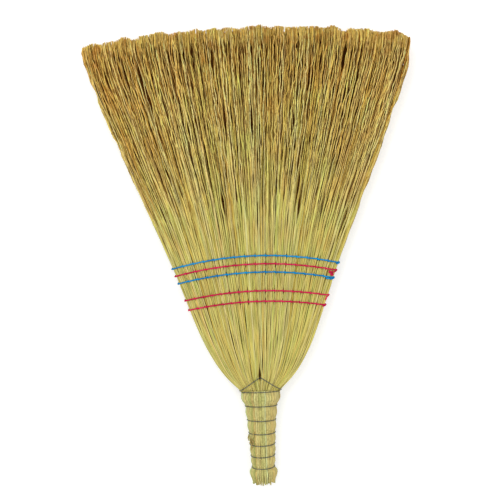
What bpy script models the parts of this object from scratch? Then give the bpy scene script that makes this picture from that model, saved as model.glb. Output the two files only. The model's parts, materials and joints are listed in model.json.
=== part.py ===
"""Sorghum hand broom: a fanned sweep of stitched stalk bunches, bound to a wired grip.

The broom lies flat. +Y runs up its axis from the grip to the tips, +X is across the fan and +Z is up.
Heights are measured along +Y from the shoulder wire. Metres throughout.
"""
import math
import random

import bmesh
import bpy
from mathutils import Vector

MM = 0.001

# Sweep outline: height above the shoulder wire, full width and full depth at each level
COLLAR_WIDTH = 46.4 * MM
COLLAR_DEPTH = 31.0 * MM
SHOULDER_HEIGHT = 17.4 * MM
SHOULDER_WIDTH = 80.0 * MM
SHOULDER_DEPTH = 31.0 * MM
NECK_HEIGHT = 36.0 * MM
NECK_WIDTH = 106.0 * MM
NECK_DEPTH = 29.5 * MM
WAIST_HEIGHT = 67.0 * MM
WAIST_WIDTH = 137.0 * MM
WAIST_DEPTH = 27.0 * MM
SEWN_HEIGHT = 150.0 * MM
SEWN_WIDTH = 197.5 * MM
SEWN_DEPTH = 25.0 * MM
FLARE_HEIGHT = 290.0 * MM
FLARE_WIDTH = 311.0 * MM
FLARE_DEPTH = 33.0 * MM
TIP_HEIGHT = 413.0 * MM
TIP_WIDTH = 394.0 * MM
TIP_DEPTH = 42.0 * MM
SWEEP_LENGTH = 437.0 * MM
TIP_EDGE_DROP = 14.0 * MM
edge_depth_shares = (0.22, 0.34, 0.42, 0.47, 0.50, 0.57, 0.65)

# Bunches of the sweep
BUNCH_COUNT = 16
BUNCH_GAP = 0.3 * MM
DENSE_HEIGHT = 232.0 * MM
DENSE_UNEVENNESS = 9.0 * MM
SWELL = 0.7 * MM
LARGE_SWELL = 1.4 * MM
stalk_rib_share = 0.30
lower_swell_share = 0.60
upper_swell_share = 0.35
ARCH_RADIUS = 425.0 * MM

# Bristles: three-sided strands drawn out of the top of each bunch and trimmed at the tips
CELL_COLUMNS = 4
CELL_ROWS = 3
STRAND_UNEVENNESS = 7.0 * MM
TIP_WANDER = 0.4 * MM
BRISTLE_FLAT = 0.5 * MM
BRISTLE_SETTLE = 2.0 * MM
inner_cell_share = 0.20
strand_bend_share = 0.52
bend_width_share = 0.88
tip_width_share = 0.74

# Twine rows, counted from the grip
TWINE_DIAMETER = 1.3 * MM
TWINE_SEAT = 0.35 * MM
TWINE_PASS_GAP = 0.62 * MM
FIRST_ROW_HEIGHT = 108.2 * MM
PAIR_SPACING = 12.4 * MM
GROUP_SPACING = 22.3 * MM
TRIPLE_SPACING = 9.8 * MM
TWINE_TAIL = 5.0 * MM
stitch_dive_share = 0.25
stitch_drift_share = 0.15

# Grip, measured down from the shoulder wire
BOUND_LENGTH = 92.4 * MM
BUTT_LENGTH = 21.6 * MM
BOUND_END_WIDTH = 26.4 * MM
BOUND_END_DEPTH = 26.0 * MM
BUTT_FLARE_WIDTH = 33.4 * MM
BUTT_FLARE_DEPTH = 32.0 * MM
BUTT_END_WIDTH = 27.6 * MM
BUTT_END_DEPTH = 27.0 * MM
BUTT_UNEVENNESS = 3.0 * MM
GRIP_BULGE = 1.3 * MM
SECTOR_COUNT = 8
SECTOR_RIBS = 3
SECTOR_GAP = 0.3 * MM
GRIP_RIB_DEPTH = 0.6 * MM
CORE_RADIUS = 5.2 * MM
CORE_GAP = 0.3 * MM
JOINT_GAP = 0.3 * MM
wire_place_shares = (0.0, 0.190, 0.376, 0.546, 0.696, 0.848, 1.0)
grip_size_shares = (1.0, 0.56, 0.36, 0.24, 0.15, 0.08, 0.0)
butt_flare_shares = (0.22, 0.42)
butt_end_share = 0.86

# Wire of the grip and the shoulder
WIRE_DIAMETER = 1.2 * MM
WIRE_SEAT = 0.3 * MM
WIRE_PASS_GAP = 0.8 * MM
WIRE_TAIL = 8.0 * MM
TIE_CLEARANCE = 0.9 * MM
LOOP_POINTS = 24
TAIL_POINTS = 5
TIE_POINTS = 9
tail_turn_share = 0.6
tail_rise_rate = 4.0
tail_angle_shares = (-0.13, 0.64, -0.15, 0.65, -0.14, 0.64, -0.12)

random_source = random.Random(11)


def make_material(name, colour, roughness, metallic=0.0):
    """Principled material with a linear colour."""
    material = bpy.data.materials.new(name)
    material.use_nodes = True
    shader = material.node_tree.nodes["Principled BSDF"]
    shader.inputs["Base Color"].default_value = (*colour, 1.0)
    shader.inputs["Roughness"].default_value = roughness
    shader.inputs["Metallic"].default_value = metallic
    return material


def add_object(name, data, material, parent):
    """Link mesh or curve data under the broom's empty."""
    data.materials.append(material)
    made = bpy.data.objects.new(name, data)
    bpy.context.scene.collection.objects.link(made)
    made.parent = parent
    return made


def between(low, high, share):
    return low + (high - low) * share


def add_solid(name, mesh, material, parent):
    """Turn a closed bmesh's faces outwards and make it an object."""
    bmesh.ops.recalc_face_normals(mesh, faces=mesh.faces[:])
    if mesh.calc_volume(signed=True) < 0:
        bmesh.ops.reverse_faces(mesh, faces=mesh.faces[:])
    data = bpy.data.meshes.new(name)
    mesh.to_mesh(data)
    mesh.free()
    return add_object(name, data, material, parent)


def smooth_between(places, values, place):
    """Cubic curve through the named levels, held past the last one."""
    last = len(places) - 1
    if place >= places[last]:
        return values[last]
    index = 0
    while index < last - 1 and place > places[index + 1]:
        index += 1

    def slope(at):
        low = max(at - 1, 0)
        high = min(at + 1, last)
        return (values[high] - values[low]) / (places[high] - places[low])

    span = places[index + 1] - places[index]
    share = (place - places[index]) / span
    start = values[index]
    end = values[index + 1]
    start_pull = slope(index) * span
    end_pull = slope(index + 1) * span
    return (
        start * (2 * share**3 - 3 * share**2 + 1)
        + start_pull * (share**3 - 2 * share**2 + share)
        + end * (3 * share**2 - 2 * share**3)
        + end_pull * (share**3 - share**2)
    )


# Shape of the sweep

level_heights = (0.0, SHOULDER_HEIGHT, NECK_HEIGHT, WAIST_HEIGHT, SEWN_HEIGHT, FLARE_HEIGHT, TIP_HEIGHT)
level_widths = (
    COLLAR_WIDTH, SHOULDER_WIDTH, NECK_WIDTH, WAIST_WIDTH, SEWN_WIDTH, FLARE_WIDTH, TIP_WIDTH,
)
level_depths = (
    COLLAR_DEPTH, SHOULDER_DEPTH, NECK_DEPTH, WAIST_DEPTH, SEWN_DEPTH, FLARE_DEPTH, TIP_DEPTH,
)


def sweep_half_width(height):
    return smooth_between(level_heights, level_widths, height) / 2


def arch_drop(level):
    """How far the fan's edges lie below its middle at one level."""
    def sewn_drop(at):
        return (sweep_half_width(at) ** 2 - sweep_half_width(0.0) ** 2) / (2 * ARCH_RADIUS)

    if level <= DENSE_HEIGHT:
        return sewn_drop(level)
    share = (level - DENSE_HEIGHT) / (SWEEP_LENGTH - DENSE_HEIGHT)
    return between(sewn_drop(DENSE_HEIGHT), TIP_EDGE_DROP, share)


def half_depth(side_share, level):
    """Half the sweep's depth at a share of the half width: a flat oval, thinner at its edges."""
    middle = smooth_between(level_heights, level_depths, level) / 2
    edge = smooth_between(level_heights, edge_depth_shares, level)
    return middle * math.sqrt(1 - (1 - edge**2) * min(side_share**2, 1))


def sweep_point(side_share, depth_share, level):
    """A place in the sweep from its shares of the width and the depth."""
    drop = arch_drop(level)
    return Vector((
        side_share * sweep_half_width(level - drop),
        level - drop * side_share**2,
        depth_share * half_depth(side_share, level),
    ))


def boundary_share(index):
    """Side share of the boundary left of a bunch, from -1 to 1."""
    return -1 + 2 * index / BUNCH_COUNT


twine_radius = TWINE_DIAMETER / 2
wire_radius = WIRE_DIAMETER / 2
wire_pass_offset = (WIRE_DIAMETER + WIRE_PASS_GAP) / 2
row_heights = (
    FIRST_ROW_HEIGHT,
    FIRST_ROW_HEIGHT + PAIR_SPACING,
    FIRST_ROW_HEIGHT + PAIR_SPACING + GROUP_SPACING,
    FIRST_ROW_HEIGHT + PAIR_SPACING + GROUP_SPACING + TRIPLE_SPACING,
    FIRST_ROW_HEIGHT + PAIR_SPACING + GROUP_SPACING + 2 * TRIPLE_SPACING,
)


def bunch_levels():
    """Levels of a bunch's sections, each with its swell and the room it leaves to each side."""
    snug = BUNCH_GAP / 2
    channel = twine_radius + TWINE_SEAT
    levels = [
        (JOINT_GAP / 2, 0.0, snug),
        (SHOULDER_HEIGHT, 0.0, snug),
        (NECK_HEIGHT, 0.0, snug),
        (WAIST_HEIGHT, SWELL, snug),
        (between(WAIST_HEIGHT, FIRST_ROW_HEIGHT, lower_swell_share), SWELL, snug),
    ]
    for number, height in enumerate(row_heights):
        levels.append((height, 0.0, channel))
        if number + 1 < len(row_heights):
            following = row_heights[number + 1]
            wide = following - height > (PAIR_SPACING + GROUP_SPACING) / 2
            levels.append((between(height, following, 0.5), LARGE_SWELL if wide else SWELL, snug))
    levels.append((between(row_heights[-1], DENSE_HEIGHT, upper_swell_share), LARGE_SWELL, snug))
    return levels


def bunch_section(index, level, swell, room):
    """One section of a bunch: stalk ribs along its front, then back along its underside."""
    drop = arch_drop(level)
    half_width = sweep_half_width(level - drop)
    middle_room = room
    if level == SHOULDER_HEIGHT:
        middle_room = wire_pass_offset + wire_radius + WIRE_SEAT
    left_room = middle_room if 2 * index == BUNCH_COUNT else room
    right_room = middle_room if 2 * (index + 1) == BUNCH_COUNT else room
    left = boundary_share(index) * half_width
    right = boundary_share(index + 1) * half_width
    if index > 0:
        left += left_room
    if index + 1 < BUNCH_COUNT:
        right -= right_room
    rib = stalk_rib_share * (right - left) / CELL_COLUMNS
    front = []
    for column in range(CELL_COLUMNS + 1):
        x = between(left, right, column / CELL_COLUMNS)
        share = x / half_width
        depth = half_depth(share, level) + swell
        if column % 2 == 0:
            depth -= rib
        front.append(Vector((x, level - drop * share**2, depth)))
    back = [Vector((point.x, point.y, -point.z)) for point in reversed(front)]
    return front + back


def loft(mesh, sections):
    """Join sections of equal length into a side wall, and return their rows of vertices."""
    rows = [[mesh.verts.new(point) for point in section] for section in sections]
    for low, high in zip(rows, rows[1:]):
        for index in range(len(low)):
            following = (index + 1) % len(low)
            mesh.faces.new((low[index], low[following], high[following], high[index]))
    return rows


def strip_cap(mesh, row):
    """Close a section of front and back points with one quad for each column."""
    count = len(row) // 2
    faces = []
    for column in range(count - 1):
        faces.append(mesh.faces.new((
            row[column], row[column + 1], row[-2 - column], row[-1 - column],
        )))
    return faces


def draw_strands(mesh, cells, top_level):
    """Draw each cell of a bunch's top out into a strand that bends once and is trimmed off."""
    half_width = sweep_half_width(top_level - arch_drop(top_level))

    def shares(point):
        side = point.x / half_width
        return side, point.z / half_depth(side, top_level)

    for face in cells:
        centre = shares(face.calc_center_median())
        corners = [shares(vertex.co) for vertex in face.verts]
        tip_level = SWEEP_LENGTH - random_source.random() * STRAND_UNEVENNESS
        bend_level = between(top_level, tip_level, strand_bend_share)
        wander = random_source.uniform(-1, 1) * TIP_WANDER
        sections = ((bend_level, bend_width_share, 0.0), (tip_level, tip_width_share, wander))
        for level, width_share, shift in sections:
            face = bmesh.ops.extrude_discrete_faces(mesh, faces=[face])["faces"][0]
            for vertex, corner in zip(face.verts, corners):
                side = between(centre[0], corner[0], width_share)
                depth = between(centre[1], corner[1], width_share)
                vertex.co = sweep_point(side, depth, level)
                vertex.co.x += shift


def make_bunch(index, material, parent):
    """One bunch of stalks, dense and ribbed up to its split, then drawn out into bristles."""
    mesh = bmesh.new()
    top_level = DENSE_HEIGHT - random_source.random() * DENSE_UNEVENNESS
    levels = bunch_levels() + [(top_level, 0.0, BUNCH_GAP / 2)]
    rows = loft(mesh, [bunch_section(index, *level) for level in levels])
    strip_cap(mesh, rows[0])
    for face in strip_cap(mesh, rows[-1]):
        face.material_index = 1
    top = rows[-1]
    spokes = [mesh.edges.get((top[column], top[-1 - column])) for column in range(CELL_COLUMNS + 1)]
    bmesh.ops.subdivide_edges(mesh, edges=spokes, cuts=CELL_ROWS - 1, use_grid_fill=True)
    cap = [face for face in mesh.faces if face.material_index == 1]
    cells = bmesh.ops.triangulate(mesh, faces=cap)["faces"]
    for face in cells:
        face.material_index = 0
    reach = half_depth(boundary_share(index + 0.5), top_level)
    cells.sort(key=lambda cell: (round(cell.calc_center_median().x, 6), cell.calc_center_median().z))
    inner = [cell for cell in cells if abs(cell.calc_center_median().z) < reach * inner_cell_share]
    drawn = [cell for cell in cells if cell not in inner[::2]]
    draw_strands(mesh, drawn, top_level)
    return add_solid(f"sweep_bunch_{index + 1:02d}", mesh, material, parent)


def flatten_underside(bunches):
    """Cut the bristles flat where the sweep lies, press down those just above, and return the level."""
    lowest = min(vertex.co.z for bunch in bunches for vertex in bunch.data.vertices)
    floor = lowest + BRISTLE_FLAT
    for bunch in bunches:
        for vertex in bunch.data.vertices:
            if vertex.co.z < floor + BRISTLE_SETTLE:
                vertex.co.z = floor
    return floor


# Tubes

def least_gap(points, diameter):
    """Least clear distance between stretches of a tube that are apart along its length."""
    step = diameter / 3
    samples = []
    travelled = 0.0
    for start, end in zip(points, points[1:]):
        length = (end - start).length
        count = max(1, math.ceil(length / step))
        for index in range(count):
            samples.append((start.lerp(end, index / count), travelled + length * index / count))
        travelled += length
    least = travelled
    for first, (place, at) in enumerate(samples):
        for other, other_at in samples[first + 1:]:
            if other_at - at > 3 * diameter:
                least = min(least, (place - other).length)
    return least - diameter


def make_tube(name, points, diameter, resolution, material, parent):
    """One unbroken tube through the points."""
    curve = bpy.data.curves.new(name, "CURVE")
    curve.dimensions = "3D"
    curve.bevel_depth = diameter / 2
    curve.bevel_resolution = resolution
    curve.use_fill_caps = True
    spline = curve.splines.new("POLY")
    spline.points.add(len(points) - 1)
    for target, point in zip(spline.points, points):
        target.co = (*point, 1.0)
    print(f"{name}: least gap to itself {least_gap(points, diameter) / MM:.2f} mm")
    return add_object(name, curve, material, parent)


# Twine

def twine_route(height):
    """A saddle stitch: to the left edge and back, each pass over one bunch and under the next."""
    pass_offset = (TWINE_DIAMETER + TWINE_PASS_GAP) / 2
    stand = TWINE_SEAT + twine_radius
    drop = arch_drop(height)
    half_width = sweep_half_width(height - drop)

    def corner(boundary, rise, side):
        """A place on the row, counted in bunches: rise is how far aside it is, side is front or back."""
        share = boundary_share(boundary)
        x = share * half_width
        if boundary in (0, BUNCH_COUNT):
            x += math.copysign(stand, share)
        return Vector((
            x,
            height - drop * share**2 + rise * pass_offset,
            side * (half_depth(share, height) + stand),
        ))

    def run(bunch, side, leftwards):
        """Over or under one bunch: level along it, aside only where it dives in at both ends."""
        places = (
            (bunch, -side),
            (bunch + stitch_dive_share, -side * stitch_drift_share),
            (bunch + 1 - stitch_dive_share, side * stitch_drift_share),
            (bunch + 1, side),
        )
        line = [corner(boundary, rise, side) for boundary, rise in places]
        return line[::-1] if leftwards else line

    points = []
    for bunch in reversed(range(BUNCH_COUNT)):
        points += run(bunch, 1 if bunch % 2 == 1 else -1, True)
    for bunch in range(BUNCH_COUNT):
        points += run(bunch, 1 if bunch % 2 == 0 else -1, False)
    edge = half_width + stand
    edge_height = height - drop
    tail_level = TWINE_DIAMETER
    start = [
        Vector((edge, edge_height + pass_offset + TWINE_TAIL, tail_level)),
        Vector((edge, edge_height + pass_offset, tail_level)),
    ]
    end = [
        Vector((edge, edge_height - pass_offset, -tail_level)),
        Vector((edge, edge_height - pass_offset - TWINE_TAIL, -tail_level)),
    ]
    lean = (sweep_half_width(edge_height + TWINE_TAIL) - half_width) / TWINE_TAIL
    start[0].x += lean * TWINE_TAIL + TWINE_SEAT
    end[1].x += TWINE_SEAT
    return start + points + end


# Grip

wire_places = [-BOUND_LENGTH * share for share in wire_place_shares]
wire_widths = [between(BOUND_END_WIDTH, COLLAR_WIDTH, share) for share in grip_size_shares]
wire_depths = [between(BOUND_END_DEPTH, COLLAR_DEPTH, share) for share in grip_size_shares]
butt_end = -(BOUND_LENGTH + BUTT_LENGTH)


def grip_levels():
    """Sections of the grip from the shoulder down: place, half width and half depth."""
    levels = [(-JOINT_GAP / 2, wire_widths[0] / 2, wire_depths[0] / 2)]
    for upper, lower in zip(range(len(wire_places) - 1), range(1, len(wire_places))):
        levels.append((
            between(wire_places[upper], wire_places[lower], 0.5),
            (wire_widths[upper] + wire_widths[lower]) / 4 + GRIP_BULGE,
            (wire_depths[upper] + wire_depths[lower]) / 4 + GRIP_BULGE,
        ))
        levels.append((wire_places[lower], wire_widths[lower] / 2, wire_depths[lower] / 2))
    for share in butt_flare_shares:
        place = between(wire_places[-1], butt_end, share)
        levels.append((place, BUTT_FLARE_WIDTH / 2, BUTT_FLARE_DEPTH / 2))
    levels.append((
        between(wire_places[-1], butt_end, butt_end_share), BUTT_END_WIDTH / 2, BUTT_END_DEPTH / 2,
    ))
    return levels


def sector_angle(index):
    """Angle of the boundary before a sector. A rib's crest lies straight down."""
    return 2 * math.pi * (index - 0.5 / SECTOR_RIBS) / SECTOR_COUNT


def grip_section(sector, place, half_width, depth, centre_z):
    """One section of a grip sector: ribs along the outside, then two corners at the core."""
    first = sector_angle(sector)
    last = sector_angle(sector + 1)
    steps = 2 * SECTOR_RIBS
    outer = []
    for step in range(steps + 1):
        angle = between(first, last, step / steps)
        radius = 1 / math.hypot(math.cos(angle) / half_width, math.sin(angle) / depth)
        if step % 2 == 0:
            radius -= GRIP_RIB_DEPTH
        outer.append(Vector((radius * math.cos(angle), radius * math.sin(angle))))
    inner_radius = CORE_RADIUS + CORE_GAP / math.cos(math.pi / SECTOR_COUNT)
    inner = [Vector((inner_radius * math.cos(angle), inner_radius * math.sin(angle))) for angle in (last, first)]
    for near, far, turn in ((inner[1], outer[0], 1), (inner[0], outer[-1], -1)):
        along = (far - near).normalized()
        shift = Vector((-along.y, along.x)) * turn * SECTOR_GAP / 2
        near += shift
        far += shift
    return [Vector((point.x, place, centre_z + point.y)) for point in outer + inner]


def make_sector(index, axis_drop, material, parent):
    """A bunch of outer stalk butts, waisted at each wire and cut unevenly at the end."""
    mesh = bmesh.new()
    levels = grip_levels()
    rows = loft(mesh, [
        grip_section(index, place, width, depth, axis_drop * place)
        for place, width, depth in levels
    ])
    for vertex in rows[-1][:2 * SECTOR_RIBS + 1]:
        vertex.co.y -= random_source.random() * BUTT_UNEVENNESS
    mesh.faces.new(reversed(rows[0]))
    mesh.faces.new(rows[-1])
    bmesh.ops.triangulate(mesh, faces=[face for face in mesh.faces if len(face.verts) > 4])
    return add_solid(f"grip_stalks_{index + 1}", mesh, material, parent)


def make_core(axis_drop, material, parent):
    """The inner stalks: an eight-sided bundle with a flat cut end."""
    mesh = bmesh.new()
    sections = []
    for place in (-JOINT_GAP / 2, between(wire_places[-1], butt_end, butt_end_share)):
        section = []
        for index in range(SECTOR_COUNT):
            angle = sector_angle(index)
            section.append(Vector((
                CORE_RADIUS * math.cos(angle), place, axis_drop * place + CORE_RADIUS * math.sin(angle),
            )))
        sections.append(section)
    rows = loft(mesh, sections)
    mesh.faces.new(reversed(rows[0]))
    mesh.faces.new(rows[-1])
    return add_solid("grip_core", mesh, material, parent)


# Wires

def seat_offset(rise, run):
    """How far a wire's middle stands off its waist, clear of a wall that rises beside it."""
    return (wire_radius + WIRE_SEAT) * math.sqrt(1 + (rise / run) ** 2)


def wire_route(index, axis_drop, tail_angle):
    """A full turn in the grip's waist, with both ends twisted together into a tail."""
    place = wire_places[index]
    if index == 0:
        width_rise = sweep_half_width(SHOULDER_HEIGHT) - sweep_half_width(0.0)
        run_length = SHOULDER_HEIGHT
        depth_rise = GRIP_BULGE
    else:
        width_rise = GRIP_BULGE + (wire_widths[index - 1] - wire_widths[index]) / 4
        run_length = (wire_places[index - 1] - place) / 2
        depth_rise = width_rise
    if index + 1 == len(wire_places):
        width_rise = (BUTT_FLARE_WIDTH - wire_widths[index]) / 2
        depth_rise = (BUTT_FLARE_DEPTH - wire_depths[index]) / 2
        run_length = BUTT_LENGTH * butt_flare_shares[0]
    chord = 1 / math.cos(math.pi / LOOP_POINTS)
    across = (wire_widths[index] / 2 + seat_offset(width_rise, run_length)) * chord
    deep = (wire_depths[index] / 2 + seat_offset(depth_rise, run_length)) * chord
    centre = Vector((0.0, place, axis_drop * place))
    half_step = wire_pass_offset / min(across, deep)
    loop = []
    for step in range(LOOP_POINTS):
        angle = tail_angle + between(half_step, 2 * math.pi - half_step, step / (LOOP_POINTS - 1))
        loop.append(centre + Vector((across * math.cos(angle), 0.0, deep * math.sin(angle))))
    middle = (loop[0] + loop[-1]) / 2
    spread = (loop[0] - loop[-1]) / 2
    outward = (middle - centre).normalized()
    rise_limit = spread.length + GRIP_BULGE + WIRE_SEAT
    along = Vector((0.0, 1.0 if index + 1 == len(wire_places) else -1.0, 0.0))

    def tail(side):
        points = []
        for step in range(1, TAIL_POINTS + 1):
            share = step / TAIL_POINTS
            turn = 2 * math.pi * share * tail_turn_share
            rise = rise_limit * (1 - math.exp(-tail_rise_rate * share))
            points.append(
                middle + along * WIRE_TAIL * share + outward * rise
                + side * (spread * math.cos(turn) + outward * spread.length * math.sin(turn))
            )
        return points

    return tail(1)[::-1] + loop + tail(-1)


def tie_route(side):
    """Round one half of the shoulder: out of the slit, down to the collar's side, and back behind."""
    slit_x = side * wire_pass_offset
    low = WIRE_DIAMETER + TIE_CLEARANCE
    stand = wire_radius + WIRE_SEAT
    side_x = side * (sweep_half_width(low + WIRE_DIAMETER) + stand)
    front = []
    for step in range(TIE_POINTS):
        share = step / (TIE_POINTS - 1)
        x = between(slit_x, side_x, share)
        y = between(SHOULDER_HEIGHT, low, share)
        section_share = x / (sweep_half_width(y) + stand)
        front.append(Vector((x, y, half_depth(section_share, y) + stand)))
    start = Vector((slit_x, SHOULDER_HEIGHT, WIRE_DIAMETER))
    back = [Vector((point.x, point.y, -point.z)) for point in reversed(front)]
    end = Vector((slit_x, SHOULDER_HEIGHT, -WIRE_DIAMETER))
    return [start] + front + back + [end]


def build():
    """Make every piece, then stand the broom's underside on the ground plane."""
    for old in list(bpy.data.objects):
        bpy.data.objects.remove(old, do_unlink=True)

    straw = make_material("sorghum_stalks", (0.52, 0.42, 0.14), 0.7)
    pale_straw = make_material("peeled_stalks", (0.58, 0.49, 0.19), 0.6)
    steel = make_material("galvanised_wire", (0.22, 0.22, 0.19), 0.45, 0.9)
    blue = make_material("blue_twine", (0.03, 0.20, 0.52), 0.8)
    red = make_material("red_twine", (0.55, 0.03, 0.09), 0.8)

    broom = bpy.data.objects.new("broom", None)
    bpy.context.scene.collection.objects.link(broom)

    bunches = [make_bunch(index, straw, broom) for index in range(BUNCH_COUNT)]
    floor = flatten_underside(bunches)

    flare_place = between(wire_places[-1], butt_end, butt_flare_shares[-1])
    axis_drop = (floor + BUTT_FLARE_DEPTH / 2) / flare_place
    for index in range(SECTOR_COUNT):
        make_sector(index, axis_drop, pale_straw, broom)
    make_core(axis_drop, pale_straw, broom)

    for index, angle_share in enumerate(tail_angle_shares):
        route = wire_route(index, axis_drop, 2 * math.pi * angle_share)
        make_tube(f"grip_wire_{index + 1}", route, WIRE_DIAMETER, 1, steel, broom)
    make_tube("shoulder_tie_left", tie_route(-1), WIRE_DIAMETER, 1, steel, broom)
    make_tube("shoulder_tie_right", tie_route(1), WIRE_DIAMETER, 1, steel, broom)

    row_materials = (red, red, blue, red, blue)
    for number, (height, material) in enumerate(zip(row_heights, row_materials), 1):
        make_tube(f"twine_row_{number}", twine_route(height), TWINE_DIAMETER, 0, material, broom)

    bpy.context.view_layer.update()
    graph = bpy.context.evaluated_depsgraph_get()
    low = Vector((math.inf, math.inf, math.inf))
    high = -low
    for piece in broom.children:
        evaluated = piece.evaluated_get(graph)
        shape = evaluated.to_mesh()
        for vertex in shape.vertices:
            for axis in range(3):
                low[axis] = min(low[axis], vertex.co[axis])
                high[axis] = max(high[axis], vertex.co[axis])
        evaluated.to_mesh_clear()
    broom.location = (-(low.x + high.x) / 2, -(low.y + high.y) / 2, -low.z)
    bpy.context.view_layer.update()


build()
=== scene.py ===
# Sorghum hand broom: the finished stalks, bristles, wires and twine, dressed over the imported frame
import json
import math

import bmesh
import bpy
import numpy as np
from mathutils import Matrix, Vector

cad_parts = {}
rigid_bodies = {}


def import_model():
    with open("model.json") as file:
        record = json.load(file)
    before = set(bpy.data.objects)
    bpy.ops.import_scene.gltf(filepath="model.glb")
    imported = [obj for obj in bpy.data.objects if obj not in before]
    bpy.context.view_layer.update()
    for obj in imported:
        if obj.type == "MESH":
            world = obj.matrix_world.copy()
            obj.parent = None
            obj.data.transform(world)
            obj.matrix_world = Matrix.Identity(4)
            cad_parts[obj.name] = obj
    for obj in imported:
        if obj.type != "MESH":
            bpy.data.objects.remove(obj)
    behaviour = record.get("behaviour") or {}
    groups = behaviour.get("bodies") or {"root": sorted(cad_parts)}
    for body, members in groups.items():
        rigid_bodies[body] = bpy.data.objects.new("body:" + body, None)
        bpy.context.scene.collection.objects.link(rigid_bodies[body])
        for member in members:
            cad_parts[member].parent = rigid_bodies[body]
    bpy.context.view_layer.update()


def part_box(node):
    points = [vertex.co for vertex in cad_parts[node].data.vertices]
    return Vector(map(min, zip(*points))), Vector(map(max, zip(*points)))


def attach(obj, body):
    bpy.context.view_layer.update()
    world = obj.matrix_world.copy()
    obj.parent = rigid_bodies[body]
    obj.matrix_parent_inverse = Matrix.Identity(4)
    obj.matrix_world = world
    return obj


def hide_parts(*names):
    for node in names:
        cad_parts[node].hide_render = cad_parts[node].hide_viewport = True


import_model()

mm = 0.001
fullTurn = 2 * math.pi
scene = bpy.context.scene

# The shoulder wire's middle: the grip's core ends just under it, and the shoulder ties pass evenly round it
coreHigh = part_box("grip_core")[1]
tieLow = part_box("shoulder_tie_left")[0]
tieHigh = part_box("shoulder_tie_right")[1]
jointGap = 0.15 * mm
shoulder = Vector(((tieLow.x + tieHigh.x) / 2, coreHigh.y + jointGap, (tieLow.z + tieHigh.z) / 2))


# Colours and materials

noiseRange = {1: 0.3, 2: 0.7}  # a map range's two ends: nearly all of a noise's values lie between them
mixColour = {"data_type": "RGBA"}
multiplyColour = {**mixColour, "blend_type": "MULTIPLY"}
adding = {"operation": "ADD"}
multiplying = {"operation": "MULTIPLY"}


def linearColour(hexCode):
    channels = [int(hexCode[at:at + 2], 16) / 255 for at in (1, 3, 5)]
    return [c / 12.92 if c < 0.04045 else ((c + 0.055) / 1.055) ** 2.4 for c in channels] + [1.0]


def addNode(tree, kind, settings=None, links=None):
    # one node with its settings and links, for its outputs; "stops" fills a colour ramp
    node = tree.nodes.new("ShaderNode" + kind)
    for name, value in (settings or {}).items():
        if name == "stops":
            ramp = node.color_ramp
            ramp.elements[0].position, ramp.elements[1].position = value[0][0], value[-1][0]
            for place, _ in value[1:-1]:
                ramp.elements.new(place)
            for element, (_, hexCode) in zip(ramp.elements, value):
                element.color = linearColour(hexCode)
        elif isinstance(name, int) or name in node.inputs:
            node.inputs[name].default_value = value
        else:
            setattr(node, name, value)
    for name, socket in (links or {}).items():
        tree.links.new(socket, node.inputs[name])
    return node.outputs


def newMaterial(name, settings):
    material = bpy.data.materials.new(name)
    material.use_nodes = True
    tree = material.node_tree
    shader = tree.nodes["Principled BSDF"]
    for socket, value in settings.items():
        shader.inputs[socket].default_value = value
    return material, tree, shader


strawFinish = {
    # each noise by its mm across and along the strands
    "grain": (1.0, 26.0),       # coarser than the rind's own ribs, so that they show
    "ribs": (0.64, 1.22),       # how dark and how bright the grain's ribs get
    "ribHeight": 0.1,           # mm
    "patch": (40 / 3, 40.0),
    "turning": (180.0, 400.0),  # mm above the shoulder: pale and greenish below, golden brown above
    "wander": 60.0,             # mm by which a patch moves that
    "sway": 0.42,               # how far a patch turns the hue towards green or rust
    "hues": ((0.0, "#eeffee"), (0.5, "#ffffff"), (1.0, "#ffefe2")),
    "fleck": (5.0, 11.0),       # rusty ones near the tips
    "fleckEdge": (0.52, 0.66),  # noise at which one starts, and at which it is full
    "fleckMost": 0.55,
    "fleckColour": "#9a5a1e",
    "dash": 8.0,                # mm along a branch between its dark stretches
    "dashEdge": (0.46, 0.38),
    "dashApart": (41, 23, 0),   # times a strand's look: how far its own are shifted
    "dashColour": "#5c3008",
    "depthShade": "#946800",          # painted shade: what the deepest strands' colour is multiplied by
    "brightest": 0.9,           # no rind reflects more than this
    "byHeight": {  # mm above the shoulder from and to, and the strength below and above them
        "foot": (30.0, 130.0, 1.09, 1.0),      # the lower stalks are brighter
        "lift": (176.0, 370.0, 1.0, 1.64),     # loose branches catch more light
        "dashes": (185.0, 310.0, 0.0, 0.5),
        "flecks": (372.0, 436.0, 0.0, 1.0),
        "depthShade": (412.0, 434.0, 1.0, 0.35),     # painted shade, less of it where light falls into the trimmed end
    },
    "pale": ((0.0, "#8e6f24"), (0.2, "#b9a146"), (0.45, "#cdbf62"), (0.62, "#d2c670"), (0.8, "#d1c57a"),
             (1.0, "#d9cd8a")),
    "tan": ((0.0, "#6c3c0c"), (0.12, "#926020"), (0.28, "#b08a3c"), (0.5, "#c7a954"), (0.78, "#ccb264"),
            (1.0, "#d1bd7a")),
}


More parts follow.
